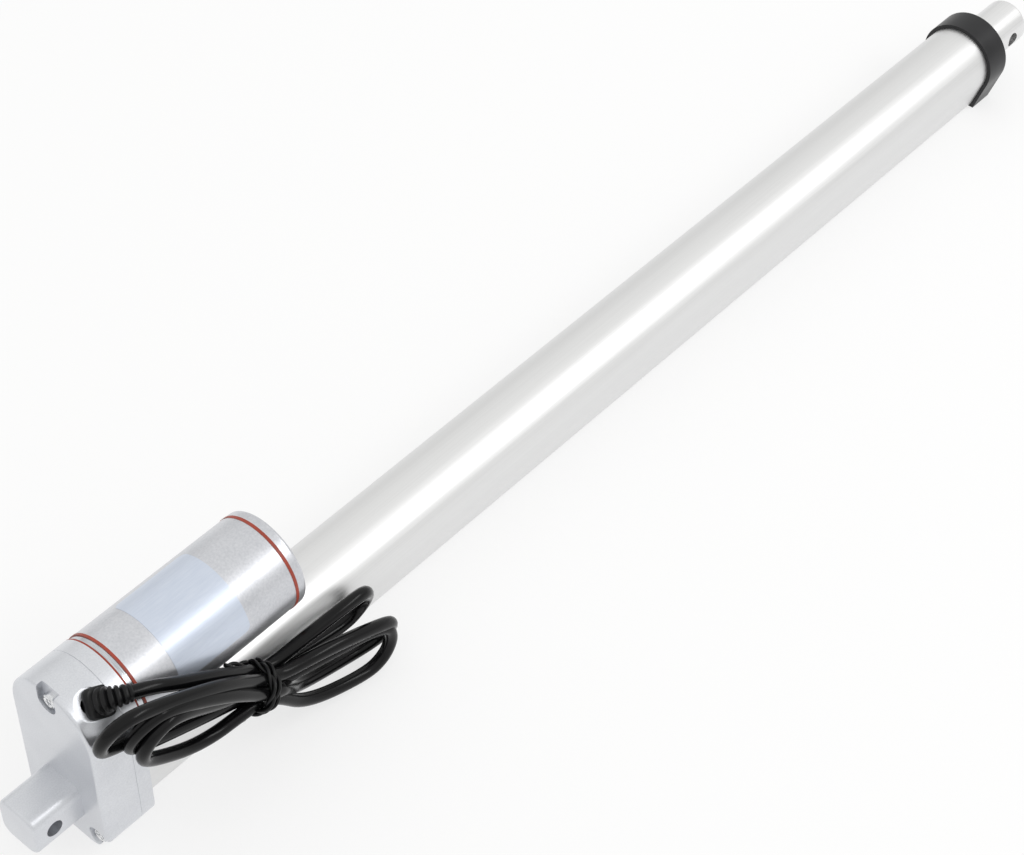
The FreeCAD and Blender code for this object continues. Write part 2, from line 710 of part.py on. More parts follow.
def rotor():
    """What turns inside the motor: shaft, slotted core, windings and commutator."""
    shaft_start = f"({WHEEL_START} - Sizes.side_gap)"
    shaft = cylinder(cell("shaft_radius"), f"{CAN_END} - {shaft_start}", shaft_start, z=MOTOR_AXIS)
    node("motor_shaft", shaft)

    shaft_fit = "Sizes.shaft_radius + Sizes.set_gap"
    core = new_body("armature_core")
    place(core, z=MOTOR_AXIS)
    stack = sketch_at(core, CORE_START)
    circle(stack, CORE_RADIUS)
    circle(stack, shaft_fit)
    pad(core, stack, cell("core_length"))
    slot = sketch_at(core, CORE_START)
    slot_outline(slot, "0", cell("core_hub"), "(Sizes.slot_width / 2)", (0, 1), CORE_RADIUS)
    polar(core, pocket(core, slot, cell("core_length")), slot, cell("core_slots"))

    coils = new_body("armature_windings")
    place(coils, z=MOTOR_AXIS)
    inner = "(Sizes.core_hub + Sizes.slot_width / 2)"
    outer = f"({CORE_RADIUS} - Sizes.winding_inset)"
    half = "(Sizes.slot_width / 2 - Sizes.set_gap)"
    coil_start = f"{CORE_START} - Sizes.winding_overhang"
    bar = sketch_at(coils, coil_start)
    outline(bar, [(f"-{half}", inner), (half, inner), (half, outer), (f"-{half}", outer)])
    bars = pad(coils, bar, "Sizes.core_length + 2 * Sizes.winding_overhang")
    polar(coils, bars, bar, cell("core_slots"))
    for start in (coil_start, f"{CORE_END} + Sizes.set_gap"):
        bundle = sketch_at(coils, start)
        circle(bundle, outer)
        circle(bundle, cell("core_hub"))
        pad(coils, bundle, "Sizes.winding_overhang - Sizes.set_gap")

    segments = ring(COMMUTATOR, shaft_fit, cell("commutator_length"), COMMUTATOR_START, MOTOR_AXIS)
    node("motor_commutator", segments)


def involute(angle):
    """The involute function of a pressure angle."""
    return math.tan(angle) - angle


# a tooth's height above and below the pitch circle, in modules
ADDENDUM = 1
DEDENDUM = 1.25


def gear_blank(teeth, shift, start, end, aim):
    """A spur gear along X about the origin, with a tooth aimed at an angle from +Y towards +Z.

    Each flank is one arc through three points of its involute; below the base circle it runs straight in.
    A tooth's land and the root beside it are so short that they are flat."""
    module = value(cell("gear_module"))
    pressure = math.radians(value(cell("pressure_angle")))
    pitch = module * teeth / 2
    base = pitch * math.cos(pressure)
    tip = pitch + module * (ADDENDUM + shift)
    root = pitch - module * (DEDENDUM - shift)
    thickness = module * (math.pi / 2 + 2 * shift * math.tan(pressure)) - value(cell("backlash")) / 2

    def half_angle(radius):
        return thickness / (2 * pitch) + involute(pressure) - involute(math.acos(base / radius))

    def point(radius, angle):
        return FreeCAD.Vector(start, radius * math.cos(angle), radius * math.sin(angle))

    first = max(base, root)
    radii = [first, (first + tip) / 2, tip]
    edges = []
    for tooth in range(teeth):
        middle = aim + 2 * math.pi * tooth / teeth
        following = middle + 2 * math.pi / teeth
        rising = [point(r, middle - half_angle(r)) for r in radii]
        falling = [point(r, middle + half_angle(r)) for r in reversed(radii)]
        low = [point(root, middle + side * half_angle(first)) for side in (-1, 1)]
        if first > root:
            edges.append(Part.makeLine(low[0], rising[0]))
        edges.append(Part.Arc(*rising).toShape())
        edges.append(Part.makeLine(rising[-1], falling[0]))
        edges.append(Part.Arc(*falling).toShape())
        if first > root:
            edges.append(Part.makeLine(falling[-1], low[1]))
        edges.append(Part.makeLine(low[1], point(root, following - half_angle(first))))
    return Part.Face(Part.Wire(edges)).extrude(FreeCAD.Vector(end - start, 0, 0))


def bar_along_x(radius, start, end):
    """A plain cylinder about the X axis."""
    return Part.makeCylinder(radius, end - start, FreeCAD.Vector(start, 0, 0), FreeCAD.Vector(1, 0, 0))


def gears():
    """The gear train's wheels and the idler's pin. Where two mesh, a tooth of one stands in a gap
    of the other."""
    idler_y, idler_z = value(IDLER_Y), value(IDLER_Z)
    to_motor = math.atan2(value(MOTOR_AXIS) - idler_z, -idler_y)
    to_spindle = math.atan2(-idler_z, -idler_y)
    names = ("motor", "wheel", "idler", "spindle")
    teeth = {name: int(value(cell(f"{name}_teeth"))) for name in names}
    half_pitch = {name: math.pi / count for name, count in teeth.items()}
    motor_shift = value(cell("motor_shift"))
    idler_shift = value(cell("idler_shift"))
    side_gap = value(cell("side_gap"))
    set_gap = value(cell("set_gap"))
    wheel_start, wheel_end = value(WHEEL_START), value(WHEEL_END)
    idler_start = value(CAVITY_START) + side_gap
    parting = value(PARTING)

    # motor pinion, with a tooth towards the idler
    pinion_ends = (wheel_start - side_gap, parting - side_gap)
    blank = gear_blank(teeth["motor"], motor_shift, *pinion_ends, to_motor + math.pi)
    pinion = doc.addObject("Part::Feature", "MotorPinion")
    pinion.Shape = blank.cut(bar_along_x(value(cell("shaft_radius")) + set_gap, 0, parting))
    place(node("motor_pinion", pinion), z=MOTOR_AXIS)

    # idler: the wheel's gap faces the motor pinion, and the small gear's tooth faces the spindle gear
    aim = to_motor + half_pitch["wheel"]
    wheel = gear_blank(teeth["wheel"], -motor_shift, wheel_start, wheel_end, aim)
    small = gear_blank(teeth["idler"], idler_shift, idler_start, wheel_start, to_spindle)
    bore = value("Sizes.idler_pin_radius + Sizes.run_gap")
    hub = bar_along_x(bore + value(cell("idler_hub_wall")), wheel_end, parting - side_gap)
    idler = doc.addObject("Part::Feature", "IdlerGear")
    idler.Shape = wheel.fuse([small, hub]).removeSplitter().cut(bar_along_x(bore, 0, parting))
    place(node("idler_gear", idler), y=IDLER_Y, z=IDLER_Z)

    # spindle gear, on the screw's flat
    aim = to_spindle + math.pi + half_pitch["spindle"]
    disc = gear_blank(teeth["spindle"], -idler_shift, value(GEAR_START), value(GEAR_END), aim)
    seat = value(JOURNAL) + set_gap
    flat = seat - value(cell("flat_depth"))
    above = Part.makeBox(parting, 2 * seat, seat, FreeCAD.Vector(0, -seat, flat))
    gear = doc.addObject("Part::Feature", "SpindleGear")
    gear.Shape = disc.cut(bar_along_x(seat, 0, parting).cut(above))
    place(node("spindle_gear", gear))

    length = f"{PARTING} - {CAVITY_START} + 2 * Sizes.idler_pin_seat"
    pin_start = f"{CAVITY_START} - Sizes.idler_pin_seat"
    node("idler_pin", cylinder(cell("idler_pin_radius"), length, pin_start, IDLER_Y, IDLER_Z))


def screw_and_bushes():
    """The lead screw, the guide on its tip, and the bushes and washer that carry it."""
    journal_start = f"({CAVITY_START} - Sizes.rear_bush_length + Sizes.side_gap)"
    journal = cylinder(JOURNAL, f"{SCREW_SHOULDER} - {journal_start}", journal_start)
    thread = cylinder(cell("thread_radius"), f"{SCREW_END} - {SCREW_SHOULDER}", SCREW_SHOULDER)
    tip_radius = "(Sizes.thread_radius - Sizes.tip_step)"
    tip = cylinder(tip_radius, cell("tip_length"), SCREW_END)
    wide = f"2 * {JOURNAL}"
    flat_length = f"{GEAR_END} - {CAVITY_START}"
    flat = box(flat_length, wide, wide, CAVITY_START, f"-{JOURNAL}", f"{JOURNAL} - Sizes.flat_depth")
    node("lead_screw", cut(fuse(journal, thread, tip), flat))
    guide_radius = f"{ROD_BORE} - Sizes.tip_guide_gap"
    tip_guide = ring(guide_radius, f"{tip_radius} + Sizes.set_gap", cell("tip_length"), SCREW_END)
    node("screw_tip_guide", tip_guide)

    bore = f"{JOURNAL} + Sizes.run_gap"
    sleeve_start = f"{CAVITY_START} - Sizes.rear_bush_length"
    sleeve = ring(total(JOURNAL, "rear_bush_wall"), bore, cell("rear_bush_length"), sleeve_start)
    flange = ring(total(JOURNAL, "rear_bush_wall", "bush_rim"), bore, cell("bush_flange"), CAVITY_START)
    node("screw_rear_bush", fuse(sleeve, flange))
    front_bush = ring(total(JOURNAL, "front_bush_wall"), bore, f"({BOSS_FRONT} - {PARTING})", PARTING)
    node("screw_front_bush", front_bush)
    washer = ring(total(JOURNAL, "washer_width"), bore, cell("thrust_washer"), BOSS_FRONT)
    node("thrust_washer", washer)


def tube_and_front():
    """The outer tube, its front cap, the rod's guide and the wiper."""
    tube_length = f"{TUBE_END} - {TUBE_START}"
    tube = new_body("outer_tube")
    outside = sketch_at(tube, TUBE_START)
    shield_outline(outside)
    pad(tube, outside, tube_length)
    inside = sketch_at(tube, TUBE_START)
    shield_outline(inside, "-Sizes.tube_wall")
    pocket(tube, inside, tube_length)

    cap = new_body("front_cap")
    outside = sketch_at(cap, CAP_START)
    shield_outline(outside, cell("cap_wall"), BOX_BELOW)
    pad(cap, outside, cell("cap_length"))
    fillet(cap, cell("cap_edge"), across(value(CAP_FRONT)))
    socket = sketch_at(cap, CAP_START)
    shield_outline(socket, cell("set_gap"))
    pocket(cap, socket, "Sizes.cap_length - Sizes.cap_front")
    wiper_start = f"({CAP_FRONT} - Sizes.wiper_length)"
    for radius, start in (
        (f"{ROD_RADIUS} + 2 * Sizes.wiper_gap", TUBE_END),
        (f"{WIPER_RADIUS} + Sizes.set_gap", wiper_start),
    ):
        hole = sketch_at(cap, start)
        circle(hole, radius)
        pocket(cap, hole, f"{CAP_FRONT} - {start}")

    guide = new_body("rod_guide")
    plug = sketch_at(guide, GUIDE_START)
    shield_outline(plug, "(-Sizes.tube_wall - Sizes.set_gap)")
    circle(plug, f"{ROD_RADIUS} + Sizes.run_gap")
    pad(guide, plug, cell("guide_length"))
    wiper = ring(WIPER_RADIUS, f"{ROD_RADIUS} + Sizes.wiper_gap", cell("wiper_length"), wiper_start)
    node("rod_wiper", wiper)


def rod_and_nut():
    """The sliding rod with its end plug, and the nut that the screw drives along the tube."""
    rod_length = f"({ROD_END} - {ROD_START})"
    bar = cylinder(ROD_RADIUS, rod_length, ROD_START)
    rounded = round_edges(bar, cell("rod_edge"), across(value(ROD_END)))
    bore = cylinder(ROD_BORE, f"{rod_length} + 2 * {PAST}", f"{ROD_START} - {PAST}")
    node("rod_tube", cut(rounded, bore, cross_hole(HOLE_SPACING, f"2 * {ROD_RADIUS}")))
    plug_start = f"{ROD_END} - Sizes.plug_length"
    plug = cylinder(f"{ROD_BORE} - Sizes.set_gap", cell("plug_length"), plug_start)
    node("rod_end_plug", cut(plug, cross_hole(HOLE_SPACING, f"2 * {ROD_RADIUS}")))

    nut = doc.addObject("PartDesign::Body", "DriveNut")
    block = sketch_at(nut, NUT_START)
    shield_outline(block, "(-Sizes.tube_wall - Sizes.nut_gap)", NUT_BELOW)
    pad(nut, block, "Sizes.nut_thread + Sizes.nut_socket")
    thread = sketch_at(nut, NUT_START)
    circle(thread, "Sizes.thread_radius + Sizes.run_gap")
    pocket(nut, thread, cell("nut_thread"))
    socket = sketch_at(nut, ROD_START)
    circle(socket, f"{ROD_RADIUS} + Sizes.set_gap")
    pocket(nut, socket, cell("nut_socket"))
    magnet_place = {"x": f"{NUT_START} + Sizes.nut_thread / 2", "z": f"-{NUT_BELOW}", "turn": UPRIGHT}
    pit_size = [f"{cell(name)} + Sizes.set_gap" for name in ("nut_magnet_radius", "nut_magnet_depth")]
    node("drive_nut", cut(nut, cylinder(*pit_size, **magnet_place)))
    magnet = cylinder(cell("nut_magnet_radius"), cell("nut_magnet_depth"), **magnet_place)
    node("nut_magnet", magnet)


def travel_switches():
    """A circuit strip on the tube's floor with a sealed reed switch at each end of the nut's travel."""
    floor = f"Sizes.tube_wall - {TUBE_BELOW} + Sizes.set_gap"
    start = total(SCREW_SHOULDER, "strip_gap")
    length = f"{GUIDE_START} - Sizes.strip_gap - {start}"
    strip = box(length, cell("strip_width"), cell("strip_thick"), start, "-Sizes.strip_width / 2", floor)
    node("switch_strip", strip)
    level = f"{floor} + Sizes.strip_thick + Sizes.set_gap + Sizes.reed_radius"
    first = f"{NUT_START} + (Sizes.nut_thread - Sizes.reed_length) / 2"
    reeds = [
        cylinder(cell("reed_radius"), cell("reed_length"), x, z=level)
        for x in (first, f"{first} + Sizes.stroke")
    ]
    node("reed_switches", group(*reeds))


def strain_relief():
    """A moulded elbow with a ribbed sleeve; the ribs taper towards the cable."""
    stem_start = f"{BOOT_SEAT} - Sizes.box_wall"
    stem = cylinder(cell("boot_stem"), cell("box_wall"), z=stem_start, turn=UPRIGHT)
    flange = cylinder(cell("boot_flange_radius"), cell("boot_flange"), z=BOOT_SEAT, turn=UPRIGHT)
    neck = cylinder(cell("boot_elbow"), f"{BOOT_LINE} - {BOOT_SEAT}", z=BOOT_SEAT, turn=UPRIGHT)
    elbow = doc.addObject("Part::Sphere", "Sphere")
    bind(elbow, Radius=cell("boot_elbow"))
    place(elbow, z=BOOT_LINE)
    sleeve = cylinder(cell("boot_core"), cell("boot_length"), z=BOOT_LINE)
    pieces = [stem, flange, neck, elbow, sleeve]
    ribs = int(value(cell("boot_ribs")))
    pitch = f"(Sizes.boot_length - Sizes.boot_elbow) / {ribs}"
    for rib in range(ribs):
        start = f"(Sizes.boot_elbow + ({rib} + 1 / 2) * {pitch})"
        radius = f"Sizes.boot_root + (Sizes.boot_tip - Sizes.boot_root) * {start} / Sizes.boot_length"
        pieces.append(cylinder(radius, f"{pitch} / 2", start, z=BOOT_LINE))
    boot = node("strain_relief", fuse(*pieces))
    boot.Placement = BOOT_PLACE


# an arc of the cable takes up this share of the shorter of its two runs
ARC_SHARE = 0.45


def rounded_path(points):
    """Straight runs joined by arcs, each as large as its two runs allow."""
    edges = []
    start = points[0]
    for before, corner, after in zip(points, points[1:], points[2:]):
        back, ahead = before - corner, after - corner
        trim = ARC_SHARE * min(back.Length, ahead.Length)
        half_turn = (math.pi - back.getAngle(ahead)) / 2
        radius = trim / math.tan(half_turn)
        print(f"cable bend radius {radius:.1f}")
        back.normalize()
        ahead.normalize()
        inward = back + ahead
        inward.normalize()
        middle = corner + inward * (radius / math.cos(half_turn) - radius)
        edges.append(Part.makeLine(start, corner + back * trim))
        edges.append(Part.Arc(corner + back * trim, middle, corner + ahead * trim).toShape())
        start = corner + ahead * trim
    edges.append(Part.makeLine(start, points[-1]))
    return Part.Wire(edges)


# the cable's free run: straight out of the strain relief, then over the hank's upper strands to its waist
EXIT_RUN = 7
LEAD_POINTS = [(46.2, -22.4, 44.8), (55.3, -22.8, 38.5), (64.9, -22.9, 31.4), (74, -22.6, 23.5)]

# the hank's cross sections: middle, half spread and half thickness, and the spread's slope from upright
HANK_CORNER_COUNT = 12
HANK_SECTIONS = [
    ((13, -25.8, 43), 5.5, 2.8, -20),
    ((24, -26.8, 40), 12, 5.2, -20),
    ((48, -26.8, 33), 12, 5.4, -20),
    ((80.3, -24.7, 12.3), 7.5, 7.5, -30),
    ((106, -25.4, -2), 13.5, 5.2, -20),
    ((126, -25.8, -3.5), 13.5, 5, -20),
    ((139, -25.8, -4), 8, 2.8, -20),
]

# the tie round the hank's middle section: its wire turned twice round it, its twisted tail and its slack
TIE_THICK = 1.5
TIE_WIDTH = 3
TIE_TAIL = 9
TIE_SLACK = 0.5


def cable():
    """The cable: a free run from the strain relief, a loose tied hank, and the wire tie round its waist."""
    radius = value(cell("cable_radius"))
    exit_point = BOOT_PLACE.multVec(FreeCAD.Vector(value(cell("boot_length")), 0, value(BOOT_LINE)))
    route = [exit_point, exit_point + boot_along * EXIT_RUN] + [FreeCAD.Vector(*p) for p in LEAD_POINTS]
    path = rounded_path(route)
    section = Part.Wire(Part.makeCircle(radius, exit_point, boot_along))
    lead = doc.addObject("Part::Feature", "CableLead")
    lead.Shape = path.makePipeShell([section], True, False)
    node("cable_lead", lead)
    expected = math.pi * radius**2 * path.Length
    print(f"cable run volume {lead.Shape.Volume:.1f}, section by length {expected:.1f}")

    middles = [FreeCAD.Vector(*section[0]) for section in HANK_SECTIONS]
    wires = []
    for index, (_, spread, thick, slope) in enumerate(HANK_SECTIONS):
        axis = middles[min(index + 1, len(middles) - 1)] - middles[max(index - 1, 0)]
        axis.normalize()
        leaning = FreeCAD.Vector(0, -math.sin(math.radians(slope)), math.cos(math.radians(slope)))
        flat = axis.cross(leaning)
        flat.normalize()
        upward = flat.cross(axis)
        corners = []
        for side in range(HANK_CORNER_COUNT):
            angle = 2 * math.pi * side / HANK_CORNER_COUNT
            offset = upward * (spread * math.cos(angle)) + flat * (thick * math.sin(angle))
            corners.append(middles[index] + offset)
        wires.append(Part.makePolygon(corners + corners[:1]))
    hank = doc.addObject("Part::Feature", "CableHank")
    hank.Shape = Part.makeLoft(wires, True, True)
    node("cable_hank", hank)

    waist = len(HANK_SECTIONS) // 2
    band_inner = HANK_SECTIONS[waist][1] + TIE_SLACK
    half_band = TIE_WIDTH / 2
    band = Part.makeCylinder(band_inner + TIE_THICK, TIE_WIDTH, FreeCAD.Vector(0, 0, -half_band))
    hole = Part.makeCylinder(band_inner, TIE_WIDTH, FreeCAD.Vector(0, 0, -half_band))
    tail_root = FreeCAD.Vector(band_inner + TIE_THICK / 2, 0, 0)
    tail = Part.makeCylinder(TIE_THICK / 2, TIE_TAIL, tail_root, FreeCAD.Vector(0, -1, 0))
    tie = doc.addObject("Part::Feature", "CableTie")
    tie.Shape = band.cut(hole).fuse(tail)
    node("cable_tie", tie)
    along = middles[waist + 1] - middles[waist - 1]
    tie.Placement = FreeCAD.Placement(middles[waist], FreeCAD.Rotation(FreeCAD.Vector(0, 0, 1), along))


rear_cover()
gear_housing()
cover_screws()
motor_casing()
motor_stator()
rotor()
gears()
screw_and_bushes()
tube_and_front()
rod_and_nut()
travel_switches()
strain_relief()
cable()

doc.recompute()
for thing in doc.Objects:
    if {"Invalid", "Error"} & set(thing.State):
        raise RuntimeError(f"{thing.Label} failed: {thing.State}")
for thing in nodes:
    if thing.Shape.isNull() or not thing.Shape.isValid() or not thing.Shape.Solids:
        raise RuntimeError(f"{thing.Label} has no valid solid")

os.makedirs("parts", exist_ok=True)
for thing in nodes:
    thing.Shape.exportStep(f"parts/{thing.Label}.step")
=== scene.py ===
import math

import bmesh
import bpy
from mathutils import Matrix, Vector


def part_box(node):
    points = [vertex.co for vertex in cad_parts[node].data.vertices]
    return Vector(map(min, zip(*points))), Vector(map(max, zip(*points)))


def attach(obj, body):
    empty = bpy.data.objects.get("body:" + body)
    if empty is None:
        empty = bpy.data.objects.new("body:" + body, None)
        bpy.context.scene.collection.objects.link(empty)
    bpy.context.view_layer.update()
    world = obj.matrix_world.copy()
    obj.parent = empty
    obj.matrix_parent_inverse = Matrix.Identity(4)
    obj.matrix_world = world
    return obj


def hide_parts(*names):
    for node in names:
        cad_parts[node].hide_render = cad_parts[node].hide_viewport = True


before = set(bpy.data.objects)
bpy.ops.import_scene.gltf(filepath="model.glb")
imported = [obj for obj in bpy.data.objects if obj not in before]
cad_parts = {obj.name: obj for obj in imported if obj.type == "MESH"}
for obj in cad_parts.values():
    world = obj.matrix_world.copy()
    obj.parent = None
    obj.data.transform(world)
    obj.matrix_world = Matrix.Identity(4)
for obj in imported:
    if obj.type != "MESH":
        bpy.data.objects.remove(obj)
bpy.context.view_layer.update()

# Gearbox: a rear cover with the mounting lug and a shallower front housing.
# Both are pressure die castings in zinc alloy, fettled and sprayed with silver lacquer.
# Three screws pull the cover onto the housing, and both edges are rounded where they meet.
MM = 0.001
LACQUER_CLOUD = 14
FILM_RIPPLE = 0.06 * MM
FLAKE_TILT = 0.03 * MM


def linear(hex_colour):
    """An sRGB hex value as the linear colour that a shader's socket takes."""
    channels = [int(hex_colour[i:i + 2], 16) / 255 for i in (1, 3, 5)]
    return [c / 12.92 if c <= 0.04045 else ((c + 0.055) / 1.055) ** 2.4 for c in channels] + [1.0]


def per_mm(size):
    """The texture scale that makes a pattern's features this many millimetres across."""
    return 1 / (size * MM)


def add(tree, kind, inputs=None, **settings):
    """Adds a node: settings are its own properties, inputs are values or the sockets that feed them."""
    made = tree.nodes.new("ShaderNode" + kind)
    for name, value in settings.items():
        setattr(made, name, value)
    for name, value in (inputs or {}).items():
        if isinstance(value, bpy.types.NodeSocket):
            tree.links.new(value, made.inputs[name])
        else:
            made.inputs[name].default_value = value
    return made


def new_finish(name, **constants):
    """A material with one principled shader, whose constant values are set on its own sockets."""
    material = bpy.data.materials.new(name)
    material.use_nodes = True
    tree = material.node_tree
    shader = tree.nodes["Principled BSDF"]
    for socket, value in constants.items():
        shader.inputs[socket.replace("_", " ")].default_value = value
    place = add(tree, "TexCoord").outputs["Object"]
    return material, tree, shader, place


def dress(finish, *names):
    """Gives CAD nodes this finish."""
    for name in names:
        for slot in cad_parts[name].material_slots:
            slot.material = finish


def silver_lacquer(name, light, dark, grain, peel):
    """Sprayed silver: aluminium flakes that sparkle under a clear coat, over a slightly rippled film.

    Real flakes are too fine to show, so they are drawn coarser, at the grain in mm.
    The peel is the size of the film's ripples in mm.
    """
    finish, tree, shader, place = new_finish(name, Metallic=0.86, Coat_Weight=0.35, Coat_Roughness=0.16)
    flakes = add(tree, "TexNoise", {"Vector": place, "Scale": per_mm(grain), "Detail": 3.0})
    clouds = add(tree, "TexNoise", {"Vector": place, "Scale": per_mm(LACQUER_CLOUD), "Detail": 2.0})
    mixed = add(tree, "Mix", {"Factor": 0.35, "A": flakes.outputs["Fac"], "B": clouds.outputs["Fac"]})
    ramp = add(tree, "ValToRGB", {"Fac": mixed.outputs["Result"]})
    ramp.color_ramp.elements[0].position = 0.3
    ramp.color_ramp.elements[0].color = linear(dark)
    ramp.color_ramp.elements[1].position = 0.7
    ramp.color_ramp.elements[1].color = linear(light)
    rough = add(tree, "MapRange", {"Value": flakes.outputs["Fac"], "To Min": 0.30, "To Max": 0.42})
    ripple = add(tree, "TexNoise", {"Vector": place, "Scale": per_mm(peel), "Detail": 2.0})
    film = add(tree, "Bump", {"Height": ripple.outputs["Fac"], "Strength": 0.12, "Distance": FILM_RIPPLE})
    sparkle = add(tree, "Bump", {"Height": flakes.outputs["Fac"], "Strength": 0.25, "Distance": FLAKE_TILT,
                                 "Normal": film.outputs["Normal"]})
    tree.links.new(ramp.outputs["Color"], shader.inputs["Base Color"])
    tree.links.new(rough.outputs["Result"], shader.inputs["Roughness"])
    tree.links.new(sparkle.outputs["Normal"], shader.inputs["Normal"])
    return finish


# lacquer on a casting: pale and even, with a fine sparkle
casting_lacquer = silver_lacquer("silver_lacquer_on_casting", "#e0e2e6", "#cfd1d6", 0.5, 2.4)
dress(casting_lacquer, "rear_cover", "gear_housing")

# Cover screws: three pan heads with a cross recess, cold-headed in steel and bright zinc plated.
# They sit in round pockets that open to the rear cover's sides, and bite into the front housing.
HEAD_RADIUS = 2.9 * MM
HEAD_HEIGHT = 2.0 * MM
HEAD_SEAT = 14.6 * MM
HEAD_SIDES = 40
HEAD_ROUND, ROUND_STEPS = 0.85 * MM, 5
SHANK_RADIUS = 1.5 * MM
CROSS_HALF_WIDTH = 0.42 * MM
CROSS_REACH = 1.7 * MM
CROSS_DEPTH = 1.2 * MM
CROSS_TAPER = 0.72
# an edge is on the head's rim if it is sharper than this and about as far out as the head's radius
RIM_ANGLE, RIM_SHARE = 1.2, 0.98
# each screw's place across and up in mm, and the turn of its cross in degrees
SCREW_PLACES = [(0.0, 48.01, 12), (14.41, -13.3, 50), (-14.41, -13.3, 75)]
MERGE_WITHIN = 1e-6
SMOOTH_BELOW = math.radians(35)
STREAK_DEPTH = 0.02 * MM


def everything(bm):
    """All points, edges and faces of a mesh."""
    return bm.verts[:] + bm.edges[:] + bm.faces[:]


def open_edges(bm):
    """The edges that have a face on one side only."""
    return [edge for edge in bm.edges if edge.is_boundary]


def new_points(made):
    """The points among what an extrusion made."""
    return [part for part in made["geom"] if isinstance(part, bmesh.types.BMVert)]


def outward(bm):
    """Merges doubled points and turns every face outwards."""
    bmesh.ops.remove_doubles(bm, verts=bm.verts, dist=MERGE_WITHIN)
    bmesh.ops.recalc_face_normals(bm, faces=bm.faces)


def into_scene(name, data):
    """Puts an object with this data into the scene, at the origin."""
    holder = bpy.data.objects.new(name, data)
    bpy.context.scene.collection.objects.link(holder)
    return holder


def new_piece(name, bm, finish, body):
    """Makes a piece of the mesh, gives it its finish and lets it ride on a body."""
    mesh = bpy.data.meshes.new(name)
    bm.to_mesh(mesh)
    bm.free()
    mesh.materials.append(finish)
    mesh.shade_smooth()
    mesh.set_sharp_from_angle(angle=SMOOTH_BELOW)
    piece = into_scene(name, mesh)
    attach(piece, body)
    return piece


screws = bmesh.new()
screw_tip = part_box("cover_screws")[1].x
for side, height, turn in SCREW_PLACES:
    head = bmesh.new()
    bmesh.ops.create_circle(head, cap_ends=True, segments=HEAD_SIDES, radius=HEAD_RADIUS)
    for across in (Vector((1, 0, 0)), Vector((0, 1, 0))):
        for cut in (-CROSS_REACH, -CROSS_HALF_WIDTH, CROSS_HALF_WIDTH, CROSS_REACH):
            bmesh.ops.bisect_plane(head, geom=everything(head), plane_co=across * cut, plane_no=across)
    cross = []
    for face in head.faces:
        middle = face.calc_center_median()
        arms = sorted((abs(middle.x), abs(middle.y)))
        if arms[0] < CROSS_HALF_WIDTH and arms[1] < CROSS_REACH:
            cross.append(face)
    skirt = new_points(bmesh.ops.extrude_edge_only(head, edges=open_edges(head)))
    bmesh.ops.translate(head, verts=skirt, vec=(0, 0, -HEAD_HEIGHT))
    sunk = new_points(bmesh.ops.extrude_face_region(head, geom=cross))
    bmesh.ops.delete(head, geom=cross, context="FACES")
    bmesh.ops.scale(head, verts=sunk, vec=(CROSS_TAPER, CROSS_TAPER, 1))
    bmesh.ops.translate(head, verts=sunk, vec=(0, 0, -CROSS_DEPTH))
    top = [e for e in head.edges if len(e.link_faces) == 2 and e.calc_face_angle(0) > RIM_ANGLE
           and min(v.co.xy.length for v in e.verts) > HEAD_RADIUS * RIM_SHARE]
    bmesh.ops.bevel(head, geom=top, offset=HEAD_ROUND, segments=ROUND_STEPS, profile=0.5,
                    affect="EDGES", material=-1)
    shank = new_points(bmesh.ops.extrude_edge_only(head, edges=open_edges(head)))
    shrink = SHANK_RADIUS / HEAD_RADIUS
    bmesh.ops.scale(head, verts=shank, vec=(shrink, shrink, 1))
    tip = new_points(bmesh.ops.extrude_edge_only(head, edges=open_edges(head)))
    bmesh.ops.translate(head, verts=tip, vec=(0, 0, HEAD_SEAT - screw_tip))
    bmesh.ops.contextual_create(head, geom=open_edges(head))
    outward(head)
    facing_back = Matrix.Rotation(-math.pi / 2, 4, "Y") @ Matrix.Rotation(math.radians(turn), 4, "Z")
    place = Matrix.Translation((HEAD_SEAT - HEAD_HEIGHT, side * MM, height * MM))
    bmesh.ops.transform(head, matrix=place @ facing_back, verts=head.verts)
    part = bpy.data.meshes.new("screw_part")
    head.to_mesh(part)
    head.free()
    screws.from_mesh(part)
    bpy.data.meshes.remove(part)


def bare_metal(name, light, dark, rough, streak):
    """Uncoated metal: turning or drawing streaks, given as a streak's size along X, Y and Z in mm.

    Real streaks are too fine to show, so these are drawn coarser.
    """
    finish, tree, shader, place = new_finish(name, Metallic=1.0)
    stretch = add(tree, "Mapping", {"Vector": place, "Scale": [per_mm(size) for size in streak]})
    lines = add(tree, "TexNoise", {"Vector": stretch.outputs["Vector"], "Scale": 1.0, "Detail": 4.0})
    ramp = add(tree, "ValToRGB", {"Fac": lines.outputs["Fac"]})
    ramp.color_ramp.elements[0].position = 0.35
    ramp.color_ramp.elements[0].color = linear(dark)
    ramp.color_ramp.elements[1].position = 0.65
    ramp.color_ramp.elements[1].color = linear(light)
    gloss = add(tree, "MapRange", {"Value": lines.outputs["Fac"], "From Min": 0.3, "From Max": 0.7,
                                   "To Min": rough * 0.85, "To Max": rough * 1.2})
    ridges = add(tree, "Bump", {"Height": lines.outputs["Fac"], "Strength": 0.15, "Distance": STREAK_DEPTH})
    tree.links.new(ramp.outputs["Color"], shader.inputs["Base Color"])
    tree.links.new(gloss.outputs["Result"], shader.inputs["Roughness"])
    tree.links.new(ridges.outputs["Normal"], shader.inputs["Normal"])
    return finish


# bright zinc plate: nearly a mirror, so that the cross and the rim glint
zinc_plate = bare_metal("bright_zinc_plate", "#f0f0f1", "#d6d8da", 0.18, (1.5, 1.5, 1.5))
cover_screw_set = new_piece("cover_screw_set", screws, zinc_plate, "housing")
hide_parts("cover_screws")

